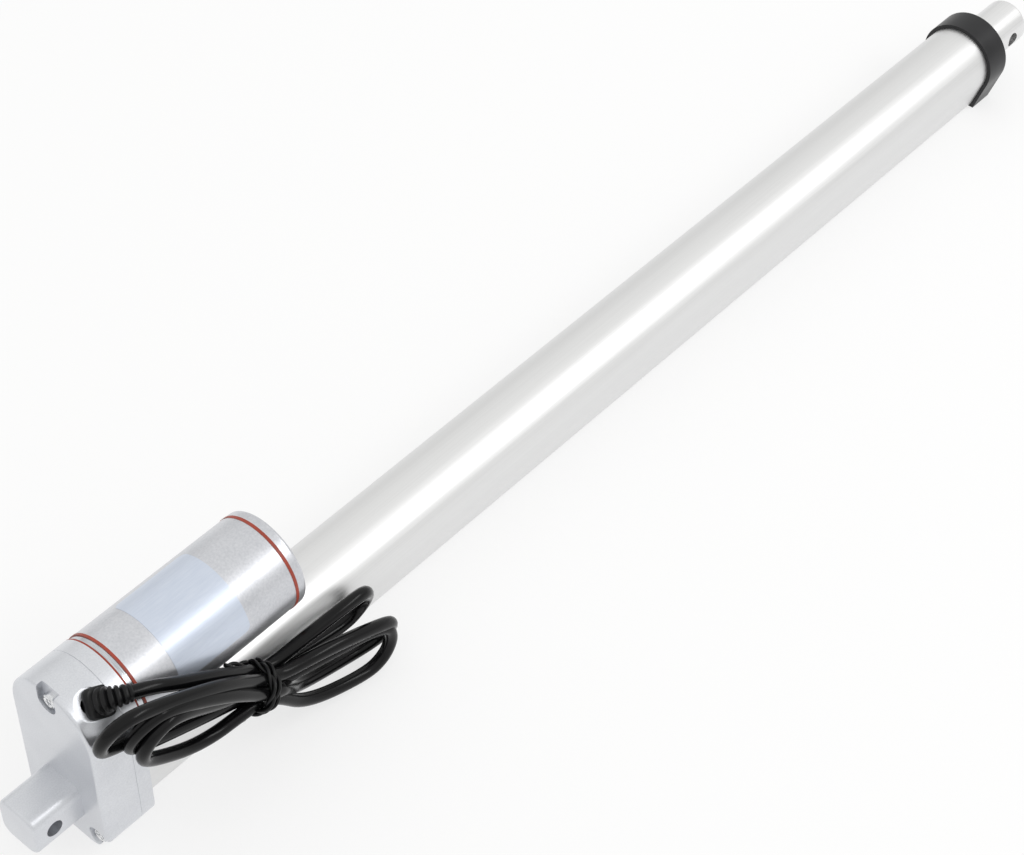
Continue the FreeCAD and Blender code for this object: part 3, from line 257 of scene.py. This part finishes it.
# Motor: a drawn steel sleeve sprayed silver, closed by a rounded end cap, on a turned steel flange.
# Three red silicone rings seal the flange and the end cap, and stand a hair proud of the metal.
MOULD_CLOUD = 9

# lacquer on the sleeve: coarser flakes than on the castings, and a little darker
shell_lacquer = silver_lacquer("silver_lacquer_on_motor_sleeve", "#d9dade", "#c3c5ca", 0.8, 3.0)
dress(shell_lacquer, "motor_shell", "motor_end_cap")
# turned steel: rings round the axis that spread the light sideways
flange_steel = bare_metal("turned_bright_steel", "#d5d8dc", "#b4b8bd", 0.2, (0.15, 6, 6))
dress(flange_steel, "motor_flange")


def moulded(name, light, dark, rough, grain, depth, **constants):
    """Moulded plastic or rubber: a spark-eroded grain from the tool, and a slow change of colour and gloss.

    Real grain is too fine to show, so its size and depth in mm are drawn coarser.
    """
    finish, tree, shader, place = new_finish(name, **constants)
    pores = add(tree, "TexNoise", {"Vector": place, "Scale": per_mm(grain), "Detail": 3.0})
    clouds = add(tree, "TexNoise", {"Vector": place, "Scale": per_mm(MOULD_CLOUD), "Detail": 2.0})
    ramp = add(tree, "ValToRGB", {"Fac": clouds.outputs["Fac"]})
    ramp.color_ramp.elements[0].position = 0.3
    ramp.color_ramp.elements[0].color = linear(dark)
    ramp.color_ramp.elements[1].position = 0.7
    ramp.color_ramp.elements[1].color = linear(light)
    gloss = add(tree, "MapRange", {"Value": clouds.outputs["Fac"], "From Min": 0.3, "From Max": 0.7,
                                   "To Min": rough * 0.88, "To Max": rough * 1.15})
    skin = add(tree, "Bump", {"Height": pores.outputs["Fac"], "Strength": 0.3, "Distance": depth * MM})
    tree.links.new(ramp.outputs["Color"], shader.inputs["Base Color"])
    tree.links.new(gloss.outputs["Result"], shader.inputs["Roughness"])
    tree.links.new(skin.outputs["Normal"], shader.inputs["Normal"])
    return finish


# silicone rubber: a soft brick red with a dull shine
red_silicone = moulded("red_silicone_rubber", "#a8402a", "#8c3420", 0.42, 0.5, 0.02)
dress(red_silicone, "motor_rear_seal", "motor_front_seal", "motor_end_seal")

# Rating plate: a blank polyester label, rolled over the motor from the cable's side to past its top.
# Its corners are die-cut round, and it lies on the lacquer with only its own thickness showing.
LABEL_FROM, LABEL_TO = 51.0 * MM, 82.0 * MM
LABEL_LOW, LABEL_HIGH = math.radians(4), math.radians(128)
LABEL_CORNER, CORNER_STEPS = 2.5 * MM, 5
LABEL_THICK = 0.09 * MM
LABEL_GAP = 0.01 * MM
LABEL_STRIPS = 36
MOTOR_HEIGHT = 35.001 * MM
MOTOR_RADIUS = 19.05 * MM
FOIL_GRAIN = (6, 0.7, 0.7)
label = bmesh.new()
label_long = MOTOR_RADIUS * (LABEL_HIGH - LABEL_LOW)
bmesh.ops.create_grid(label, x_segments=1, y_segments=1, size=0.5)
bmesh.ops.scale(label, verts=label.verts, vec=(LABEL_TO - LABEL_FROM, label_long, 1))
bmesh.ops.bevel(label, geom=label.verts[:], offset=LABEL_CORNER, segments=CORNER_STEPS, profile=0.5,
                affect="VERTICES", material=-1)
for strip in range(1, LABEL_STRIPS):
    cut = (strip / LABEL_STRIPS - 0.5) * label_long
    bmesh.ops.bisect_plane(label, geom=everything(label), plane_co=(0, cut, 0), plane_no=(0, 1, 0))
raised = new_points(bmesh.ops.extrude_face_region(label, geom=label.faces[:]))
bmesh.ops.translate(label, verts=raised, vec=(0, 0, LABEL_THICK))
for point in label.verts:
    angle = (LABEL_LOW + LABEL_HIGH) / 2 + point.co.y / MOTOR_RADIUS
    reach = MOTOR_RADIUS + LABEL_GAP + point.co.z
    along = (LABEL_FROM + LABEL_TO) / 2 + point.co.x
    point.co = (along, -math.cos(angle) * reach, MOTOR_HEIGHT + math.sin(angle) * reach)
outward(label)
# silvered polyester: pale and cold, with a faint grain along the motor
foil, foil_tree, foil_shader, foil_place = new_finish("silver_polyester_label", Metallic=0.55, Roughness=0.34,
                                                      Coat_Weight=0.4, Coat_Roughness=0.2)
foil_grain = add(foil_tree, "Mapping", {"Vector": foil_place, "Scale": [per_mm(size) for size in FOIL_GRAIN]})
foil_noise = add(foil_tree, "TexNoise", {"Vector": foil_grain.outputs["Vector"], "Scale": 1.0, "Detail": 3.0})
foil_ramp = add(foil_tree, "ValToRGB", {"Fac": foil_noise.outputs["Fac"]})
foil_ramp.color_ramp.elements[0].color = linear("#c3ccdc")
foil_ramp.color_ramp.elements[1].color = linear("#d5dce8")
foil_tree.links.new(foil_ramp.outputs["Color"], foil_shader.inputs["Base Color"])
new_piece("rating_label", label, foil, "housing")

# Outer tube: a drawn aluminium profile with a round top, tapered flanks and a flat foot.
# It is brushed lengthwise and clear anodised, which leaves a pale satin metal.
satin_anodised = bare_metal("satin_anodised_aluminium", "#e7e7e7", "#e2e2e2", 0.42, (60, 0.25, 0.25))
dress(satin_anodised, "outer_tube")

# Front cap and wiper: the cap is moulded in black nylon and pushed over the tube's mouth.
# The wiper ring inside it is nitrile rubber and strips dirt from the rod.
# Nylon from a smooth tool keeps a soft shine, and the rubber is duller.
black_nylon = moulded("black_moulded_nylon", "#1f1f21", "#18181a", 0.34, 0.7, 0.02, Specular_IOR_Level=0.35)
dress(black_nylon, "front_cap")
nitrile = moulded("black_nitrile_rubber", "#1c1c1d", "#151516", 0.55, 0.6, 0.03)
dress(nitrile, "rod_wiper")

# Rod: a drawn aluminium tube with a turned end plug, cross-drilled together for the front pin.
# The drawing leaves fine lengthwise lines, brighter than the anodised tube.
bright_rod = bare_metal("bright_drawn_aluminium", "#ececec", "#e4e4e4", 0.36, (60, 0.25, 0.25))
dress(bright_rod, "rod_tube", "rod_end_plug")

# Drive parts: pinion, idler and screw gear hobbed in steel, turned shafts, sintered bronze bushes.
# The nut and guides are turned from white acetal, and a magnet in the nut trips the end switches.
# Cut steel is streaky and grey, sintered bronze warm and speckled, and acetal a milky white.
gear_steel = bare_metal("hobbed_gear_steel", "#b9bbbf", "#a2a5aa", 0.3, (0.3, 1.2, 1.2))
dress(gear_steel, "motor_pinion", "idler_gear", "spindle_gear", "idler_pin", "lead_screw", "motor_shaft",
      "thrust_washer", "motor_can", "nut_magnet")
sintered_bronze = bare_metal("sintered_bronze", "#b08d57", "#96743f", 0.38, (0.4, 0.4, 0.4))
dress(sintered_bronze, "screw_front_bush", "screw_rear_bush", "motor_bush_end", "motor_bush_output")
acetal = moulded("white_acetal", "#e9e8e2", "#dedcd4", 0.35, 0.6, 0.01)
dress(acetal, "drive_nut", "rod_guide", "screw_tip_guide")

# Motor works: copper windings on a laminated core, a copper commutator and two carbon brushes.
# Two ferrite magnets line the steel can, and a moulded nylon plate carries the brushes.
# Enamel keeps the copper glossy, the core shows its layers, and ferrite and carbon are matt.
copper = bare_metal("enamelled_copper", "#c07a4a", "#9c5a32", 0.3, (2.0, 0.4, 0.4))
dress(copper, "armature_windings", "motor_commutator")
laminations = bare_metal("laminated_core_iron", "#8d8f93", "#6f7175", 0.42, (0.5, 12, 12))
dress(laminations, "armature_core")
ferrite = moulded("sintered_ferrite", "#3b3a3c", "#2f2e30", 0.6, 0.4, 0.02)
dress(ferrite, "motor_magnets")
carbon = moulded("pressed_carbon", "#2c2b2b", "#232222", 0.65, 0.3, 0.02)
dress(carbon, "motor_brushes")
dress(black_nylon, "motor_brush_plate")

# End switches: two sealed glass reeds on a narrow strip of fibreglass board inside the tube.
# The board is glossy green solder resist over woven glass, and the reeds are tinted green.
solder_resist = moulded("green_solder_resist", "#2f7046", "#275f3b", 0.3, 0.9, 0.02, Coat_Weight=0.3)
dress(solder_resist, "switch_strip")
reed_glass = moulded("green_reed_glass", "#b9cfc0", "#a9c0b1", 0.08, 3.0, 0.01, Transmission_Weight=0.6)
dress(reed_glass, "reed_switches")

# Strain relief: a moulded PVC boot with a squared foot, plugged into the cover's shoulder.
# It bends over to the cable in ribs that get smaller, so that the cable is never sharply kinked.
BOOT_ROOT = Vector((20.2 * MM, 0.0, MOTOR_HEIGHT))
BOOT_OUT = Vector((0.0, -0.615661, 0.788011))
BOOT_ALONG = Vector((0.927184, -0.295194, -0.230631))
BOOT_SIDE = BOOT_OUT.cross(BOOT_ALONG)
BOOT_SEAT, BOOT_LINE = 17.91 * MM, 24.31 * MM
BOOT_LONG, BOOT_SHIFT = 12.0 * MM, 3.2 * MM
BOOT_SIDES = 48
# each ring's share of the way from the seat to the cable, radius in mm and how square its outline is
FOOT_PROFILE = [(-0.1, 0.1, 4), (-0.1, 5.2, 4), (0.05, 5.3, 4),
                (0.14, 5.2, 4), (0.18, 4.8, 4), (0.19, 4.3, 3)]
MOUTH_PROFILE = [(0.97, 3.1, 2), (1.0, 2.9, 2), (1.0, 0.1, 2)]
RIB_COUNT = 5
RIB_START, RIB_STEP = 0.22, 0.145
RIB_FIRST, RIB_SHRINK = 4.6, 0.32
RIB_SQUARE = 2.4
# each ring's share of the way past the start of its rib, and its depth below the rib's crest in mm
RIB_PROFILE = [(0.0, 0.9), (0.02, 0.25), (0.045, 0.0), (0.08, 0.0), (0.105, 0.25), (0.12, 0.9)]
boot_profile = list(FOOT_PROFILE)
for rib in range(RIB_COUNT):
    start = RIB_START + RIB_STEP * rib
    crest = RIB_FIRST - RIB_SHRINK * rib
    boot_profile += [(start + past, crest - below, RIB_SQUARE) for past, below in RIB_PROFILE]
boot_profile += MOUTH_PROFILE
seat = BOOT_ROOT + BOOT_OUT * BOOT_SEAT + BOOT_ALONG * BOOT_SHIFT
elbow = BOOT_ROOT + BOOT_OUT * BOOT_LINE + BOOT_ALONG * BOOT_SHIFT
cable_exit = elbow + BOOT_ALONG * (BOOT_LONG - BOOT_SHIFT)
boot = bmesh.new()
bmesh.ops.create_circle(boot, cap_ends=True, segments=BOOT_SIDES, radius=1)
for level in range(1, len(boot_profile)):
    raised = new_points(bmesh.ops.extrude_edge_only(boot, edges=open_edges(boot)))
    bmesh.ops.translate(boot, verts=raised, vec=(0, 0, 1))
bmesh.ops.contextual_create(boot, geom=open_edges(boot))
for point in boot.verts:
    share, radius, square = boot_profile[round(point.co.z)]
    way = ((elbow - seat) * (1 - share) + (cable_exit - elbow) * share).normalized()
    middle = seat * (1 - share) ** 2 + elbow * (2 * share * (1 - share)) + cable_exit * share ** 2
    reach = radius * MM / (abs(point.co.x) ** square + abs(point.co.y) ** square) ** (1 / square)
    spoke = BOOT_SIDE * point.co.x + BOOT_SIDE.cross(way) * point.co.y
    point.co = middle + spoke * reach
outward(boot)
# soft PVC: black, with a low shine that the ribs break up
boot_rubber = moulded("black_moulded_pvc", "#161617", "#101011", 0.36, 0.5, 0.02, Specular_IOR_Level=0.25)
strain_boot = new_piece("strain_boot", boot, boot_rubber, "housing")
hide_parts("strain_relief")

# Cable: two cores in a round black PVC jacket, laid in three turns as a hank and tied at its waist.
# It comes out of the boot, runs to the tie and fans out at both ends where nothing holds it.
CABLE_RADIUS = 2.5 * MM
CABLE_END = 5.0 * MM
LEAD_ROUTE = [(31.326, -18.509, 51.390), (37.82, -20.58, 49.78), (46.2, -22.4, 44.8), (55.3, -22.8, 38.5),
              (64.9, -22.9, 31.4), (74, -22.6, 23.5)]
TIE_MIDDLE = Vector((80.3, -24.7, 12.3)) * MM
TIE_ALONG = Vector((58.0, 1.2, -35.0)).normalized()
TIE_OUT = Vector((0.0, -1.0, 0.0))
TIE_UP = TIE_OUT.cross(TIE_ALONG)
STRAND_RING = 5.1 * MM
PINCH = 6.0 * MM
# where each strand passes the tie, as an angle round the bundle; the last one ends in its middle
STRAND_ANGLES = [124, 184, 64, 4, 244, 304]
# each fold's middle in mm, lean of its plane in degrees, bend radius, bows of its upper and lower strand
# in mm, and whether the cable comes into it by the upper strand
FOLDS = [
    ((121.0, -22.5, 8.9), 18.0, 11.3, -0.8, 2.5, True),
    ((23.8, -25.9, 46.0), 17.7, 11.2, 4.0, -2.5, False),
    ((124.4, -26.7, -5.0), 23.9, 12.4, 3.3, 9.0, True),
    ((33.9, -27.2, 39.2), 18.0, 11.2, 2.0, 0.0, True),
    ((122.2, -30.6, -5.5), 0.0, 11.7, -1.0, 6.5, True),
    ((36.0, -29.2, 34.6), 13.0, 11.2, -2.5, 8.5, False),
]
# the route's corners round the half turn of a fold
FOLD_CORNERS = [math.radians(angle) for angle in (22.5, 67.5, 112.5, 157.5)]


def round_tie(angle):
    """The way out from the middle of the bundle at an angle round it, in degrees."""
    return TIE_OUT * math.cos(math.radians(angle)) + TIE_UP * math.sin(math.radians(angle))


def strand_at_tie(number):
    """The point where a strand passes under the tie."""
    if number == len(STRAND_ANGLES):
        return TIE_MIDDLE.copy()
    return TIE_MIDDLE + round_tie(STRAND_ANGLES[number]) * STRAND_RING


def leaving(start, end, going):
    """The way a strand leaves the tie for the end of a fold: halfway between its aim and the bundle's own."""
    return ((end - start).normalized() + going).normalized()


def new_cord(name, runs, radius, roundness, steps, finish):
    """A round cord or wire that follows each run of points as one smooth spline."""
    curve = bpy.data.curves.new(name, "CURVE")
    curve.dimensions = "3D"
    curve.bevel_depth = radius
    curve.bevel_resolution = roundness
    curve.use_fill_caps = True
    for run in runs:
        line = curve.splines.new("NURBS")
        line.points.add(len(run) - 1)
        for point, place in zip(line.points, run):
            point.co = (*place, 1)
        line.order_u = 3
        line.use_endpoint_u = True
        line.resolution_u = steps
    curve.materials.append(finish)
    return into_scene(name, curve)


route = [Vector(point) * MM for point in LEAD_ROUTE]
for number, (middle, lean, radius, upper_bow, lower_bow, upper_first) in enumerate(FOLDS):
    going = TIE_ALONG if number % 2 == 0 else -TIE_ALONG
    here, back = strand_at_tie(number), strand_at_tie(number + 1)
    fold = Vector(middle) * MM
    ahead = (fold - TIE_MIDDLE).normalized()
    upright = Vector((0, -math.sin(math.radians(lean)), math.cos(math.radians(lean))))
    across = (upright - ahead * upright.dot(ahead)).normalized() * (1 if upper_first else -1)
    out_bow, home_bow = (upper_bow, lower_bow) if upper_first else (lower_bow, upper_bow)
    bend = radius * MM
    out, home = fold + across * bend, fold - across * bend
    route += [here, here + leaving(here, out, going) * PINCH]
    route.append((here + out) / 2 + across * (out_bow * MM))
    for corner in FOLD_CORNERS:
        spoke = across * math.cos(corner) + ahead * math.sin(corner)
        route.append(fold + spoke * (bend / math.cos(FOLD_CORNERS[0])))
    route.append((back + home) / 2 - across * (home_bow * MM))
    route.append(back + leaving(back, home, going) * PINCH)
last = strand_at_tie(len(FOLDS))
route += [last, last + TIE_ALONG * CABLE_END]
# extruded PVC: smoother than the boot, so that each strand carries a long thin highlight
jacket = moulded("black_pvc_jacket", "#0f0f10", "#0b0b0c", 0.2, 0.8, 0.01, Specular_IOR_Level=0.2)
power_cable = new_cord("power_cable", [route], CABLE_RADIUS, roundness=5, steps=8, finish=jacket)
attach(power_cable, "housing")
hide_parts("cable_lead", "cable_hank")

# Wire tie: a steel wire in a black plastic sleeve, doubled and twisted, wound twice round the hank.
# Its twisted end lies on the lead, and the bight of the doubled wire stands out below as an eye.
TIE_WIRE = 0.7 * MM
TIE_RADIUS = STRAND_RING + CABLE_RADIUS + TIE_WIRE
TIE_BACK = 4.2 * MM
TIE_TURNS, TIE_PITCH = 2, 2.6 * MM
TIE_START = 124
TIE_STEPS, TAIL_STEPS = 144, 24
TIE_TWIST = 6.5 * MM
TAIL_REACH = 13.0 * MM
EYE_ANGLE, EYE_BACK, EYE_OUT = 285, 5.0 * MM, 1.1 * MM
EYE_RADIUS, EYE_LONG, EYE_STEPS = 1.4 * MM, 2.2 * MM, 16
tie_place = TIE_MIDDLE - TIE_ALONG * TIE_BACK
tail_out = round_tie(TIE_START)
tail_root = tie_place + tail_out * TIE_RADIUS - TIE_ALONG * (TIE_PITCH * TIE_TURNS / 2)
tail_way = (route[len(LEAD_ROUTE) - 2] - route[len(LEAD_ROUTE) - 1]).normalized()
wires = []
for strand in (0, math.pi):
    wire = []
    for step in range(TAIL_STEPS, 0, -1):
        along = step / TAIL_STEPS * TAIL_REACH
        twist = strand - along / TIE_TWIST * math.pi
        aside = tail_out * math.cos(twist) + TIE_OUT * math.sin(twist)
        wire.append(tail_root + tail_way * along + aside * TIE_WIRE)
    for step in range(TIE_STEPS + 1):
        turn = step / TIE_STEPS * TIE_TURNS
        twist = strand + turn * 2 * math.pi * TIE_RADIUS / TIE_TWIST * math.pi
        out = round_tie(TIE_START + turn * 360)
        wire.append(tie_place + out * (TIE_RADIUS + TIE_WIRE * math.cos(twist))
                    + TIE_ALONG * (TIE_WIRE * math.sin(twist) + (turn - TIE_TURNS / 2) * TIE_PITCH))
    wires.append(wire)
eye = []
for step in range(EYE_STEPS + 1):
    angle = step / EYE_STEPS * 2 * math.pi
    eye.append(tie_place + round_tie(EYE_ANGLE) * (TIE_RADIUS + EYE_OUT - EYE_RADIUS * math.cos(angle))
               + TIE_ALONG * (EYE_LONG * math.sin(angle) - EYE_BACK))
wires.append(eye)
# the wire's sleeve: the same black as the jacket, a little duller
sleeve = moulded("black_pvc_wire_sleeve", "#0f0f10", "#0b0b0c", 0.3, 0.6, 0.01, Specular_IOR_Level=0.25)
wire_tie = new_cord("wire_tie", wires, TIE_WIRE, roundness=3, steps=2, finish=sleeve)
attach(wire_tie, "housing")
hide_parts("cable_tie")

# Stage: white paper in a pale room, with one long softbox on the cable's side, towards the rod.
# The paper glows where it is seen, and still takes the object's shadow.
# The room is dimmer towards the horizon, so that round metal shades off at its sides.
FLOOR_HEIGHT = -20.0 * MM
FLOOR_REACH = 6
PAPER_GLOW = 0.7
HORIZON_LEVEL, FULL_ABOVE = 0.72, 0.5
KEY_AIM = Vector((0.15, 0.0, 0.0))
KEY_FROM = Vector((0.51, -0.55, 0.66)).normalized()
KEY_DISTANCE = 1.6
KEY_SIZE = (1.0, 0.3)
KEY_POWER = 5
floor_mesh = bmesh.new()
bmesh.ops.create_grid(floor_mesh, x_segments=1, y_segments=1, size=FLOOR_REACH)
bmesh.ops.translate(floor_mesh, verts=floor_mesh.verts, vec=(0, 0, FLOOR_HEIGHT))
floor_data = bpy.data.meshes.new("floor")
floor_mesh.to_mesh(floor_data)
floor_mesh.free()
floor = into_scene("floor", floor_data)
paper = bpy.data.materials.new("white_paper_sweep")
paper.use_nodes = True
paper_tree = paper.node_tree
paper_out = paper_tree.nodes["Material Output"]
paper_tree.nodes.remove(paper_tree.nodes["Principled BSDF"])
matt = add(paper_tree, "BsdfDiffuse", {"Color": linear("#f4f4f4")})
glow = add(paper_tree, "Emission", {"Color": linear("#ffffff"), "Strength": 1.0})
rays = add(paper_tree, "LightPath")
seen = add(paper_tree, "Math", {0: rays.outputs["Is Camera Ray"], 1: rays.outputs["Is Glossy Ray"]},
           operation="MAXIMUM")
shown = add(paper_tree, "Math", {0: seen.outputs["Value"], 1: rays.outputs["Is Transmission Ray"]},
            operation="MAXIMUM")
share = add(paper_tree, "Math", {0: shown.outputs["Value"], 1: PAPER_GLOW}, operation="MULTIPLY")
both = add(paper_tree, "MixShader", {0: share.outputs["Value"], 1: matt.outputs["BSDF"],
                                     2: glow.outputs["Emission"]})
paper_tree.links.new(both.outputs["Shader"], paper_out.inputs["Surface"])
floor_data.materials.append(paper)

room = bpy.data.worlds.new("pale_room")
room.use_nodes = True
room_tree = room.node_tree
wall = room_tree.nodes["Background"]
wall.inputs["Color"].default_value = linear("#f8f8f7")
facing = add(room_tree, "SeparateXYZ", {"Vector": add(room_tree, "TexCoord").outputs["Generated"]})
dim = add(room_tree, "MapRange", {"Value": facing.outputs["Z"], "From Min": 0.0, "From Max": FULL_ABOVE,
                                  "To Min": HORIZON_LEVEL, "To Max": 1.0})
straight = add(room_tree, "LightPath")
level = add(room_tree, "Math", {0: dim.outputs["Result"], 1: straight.outputs["Is Camera Ray"]},
            operation="MAXIMUM")
room_tree.links.new(level.outputs["Value"], wall.inputs["Strength"])
bpy.context.scene.world = room

lamp = bpy.data.lights.new("key_softbox", "AREA")
lamp.shape = "RECTANGLE"
lamp.size, lamp.size_y = KEY_SIZE
lamp.energy = KEY_POWER
softbox = into_scene("key_softbox", lamp)
softbox.location = KEY_AIM + KEY_FROM * KEY_DISTANCE
softbox.rotation_euler = KEY_FROM.to_track_quat("Z", "Y").to_euler()

# Camera: it stands where the photograph was taken from, high behind the gearbox on the cable's side.
# The place was found from the motor's seals, the tube's edges and the two pivot holes.
CAMERA_PLACE = Vector((-240.95, -406.95, 681.21)) * MM
CAMERA_AIM = Vector((0.512831, 0.439364, -0.737539))
CAMERA_ROLL = -0.02488
SENSOR_WIDTH, LENS = 36.0, 86.535
camera_data = bpy.data.cameras.new("camera")
camera_data.sensor_width = SENSOR_WIDTH
camera_data.lens = LENS
camera = into_scene("camera", camera_data)
camera.location = CAMERA_PLACE
upright_view = CAMERA_AIM.to_track_quat("-Z", "Y").to_matrix()
camera.rotation_euler = (Matrix.Rotation(CAMERA_ROLL, 3, CAMERA_AIM) @ upright_view).to_euler()
bpy.context.scene.camera = camera
bpy.context.scene.view_settings.view_transform = "Standard"
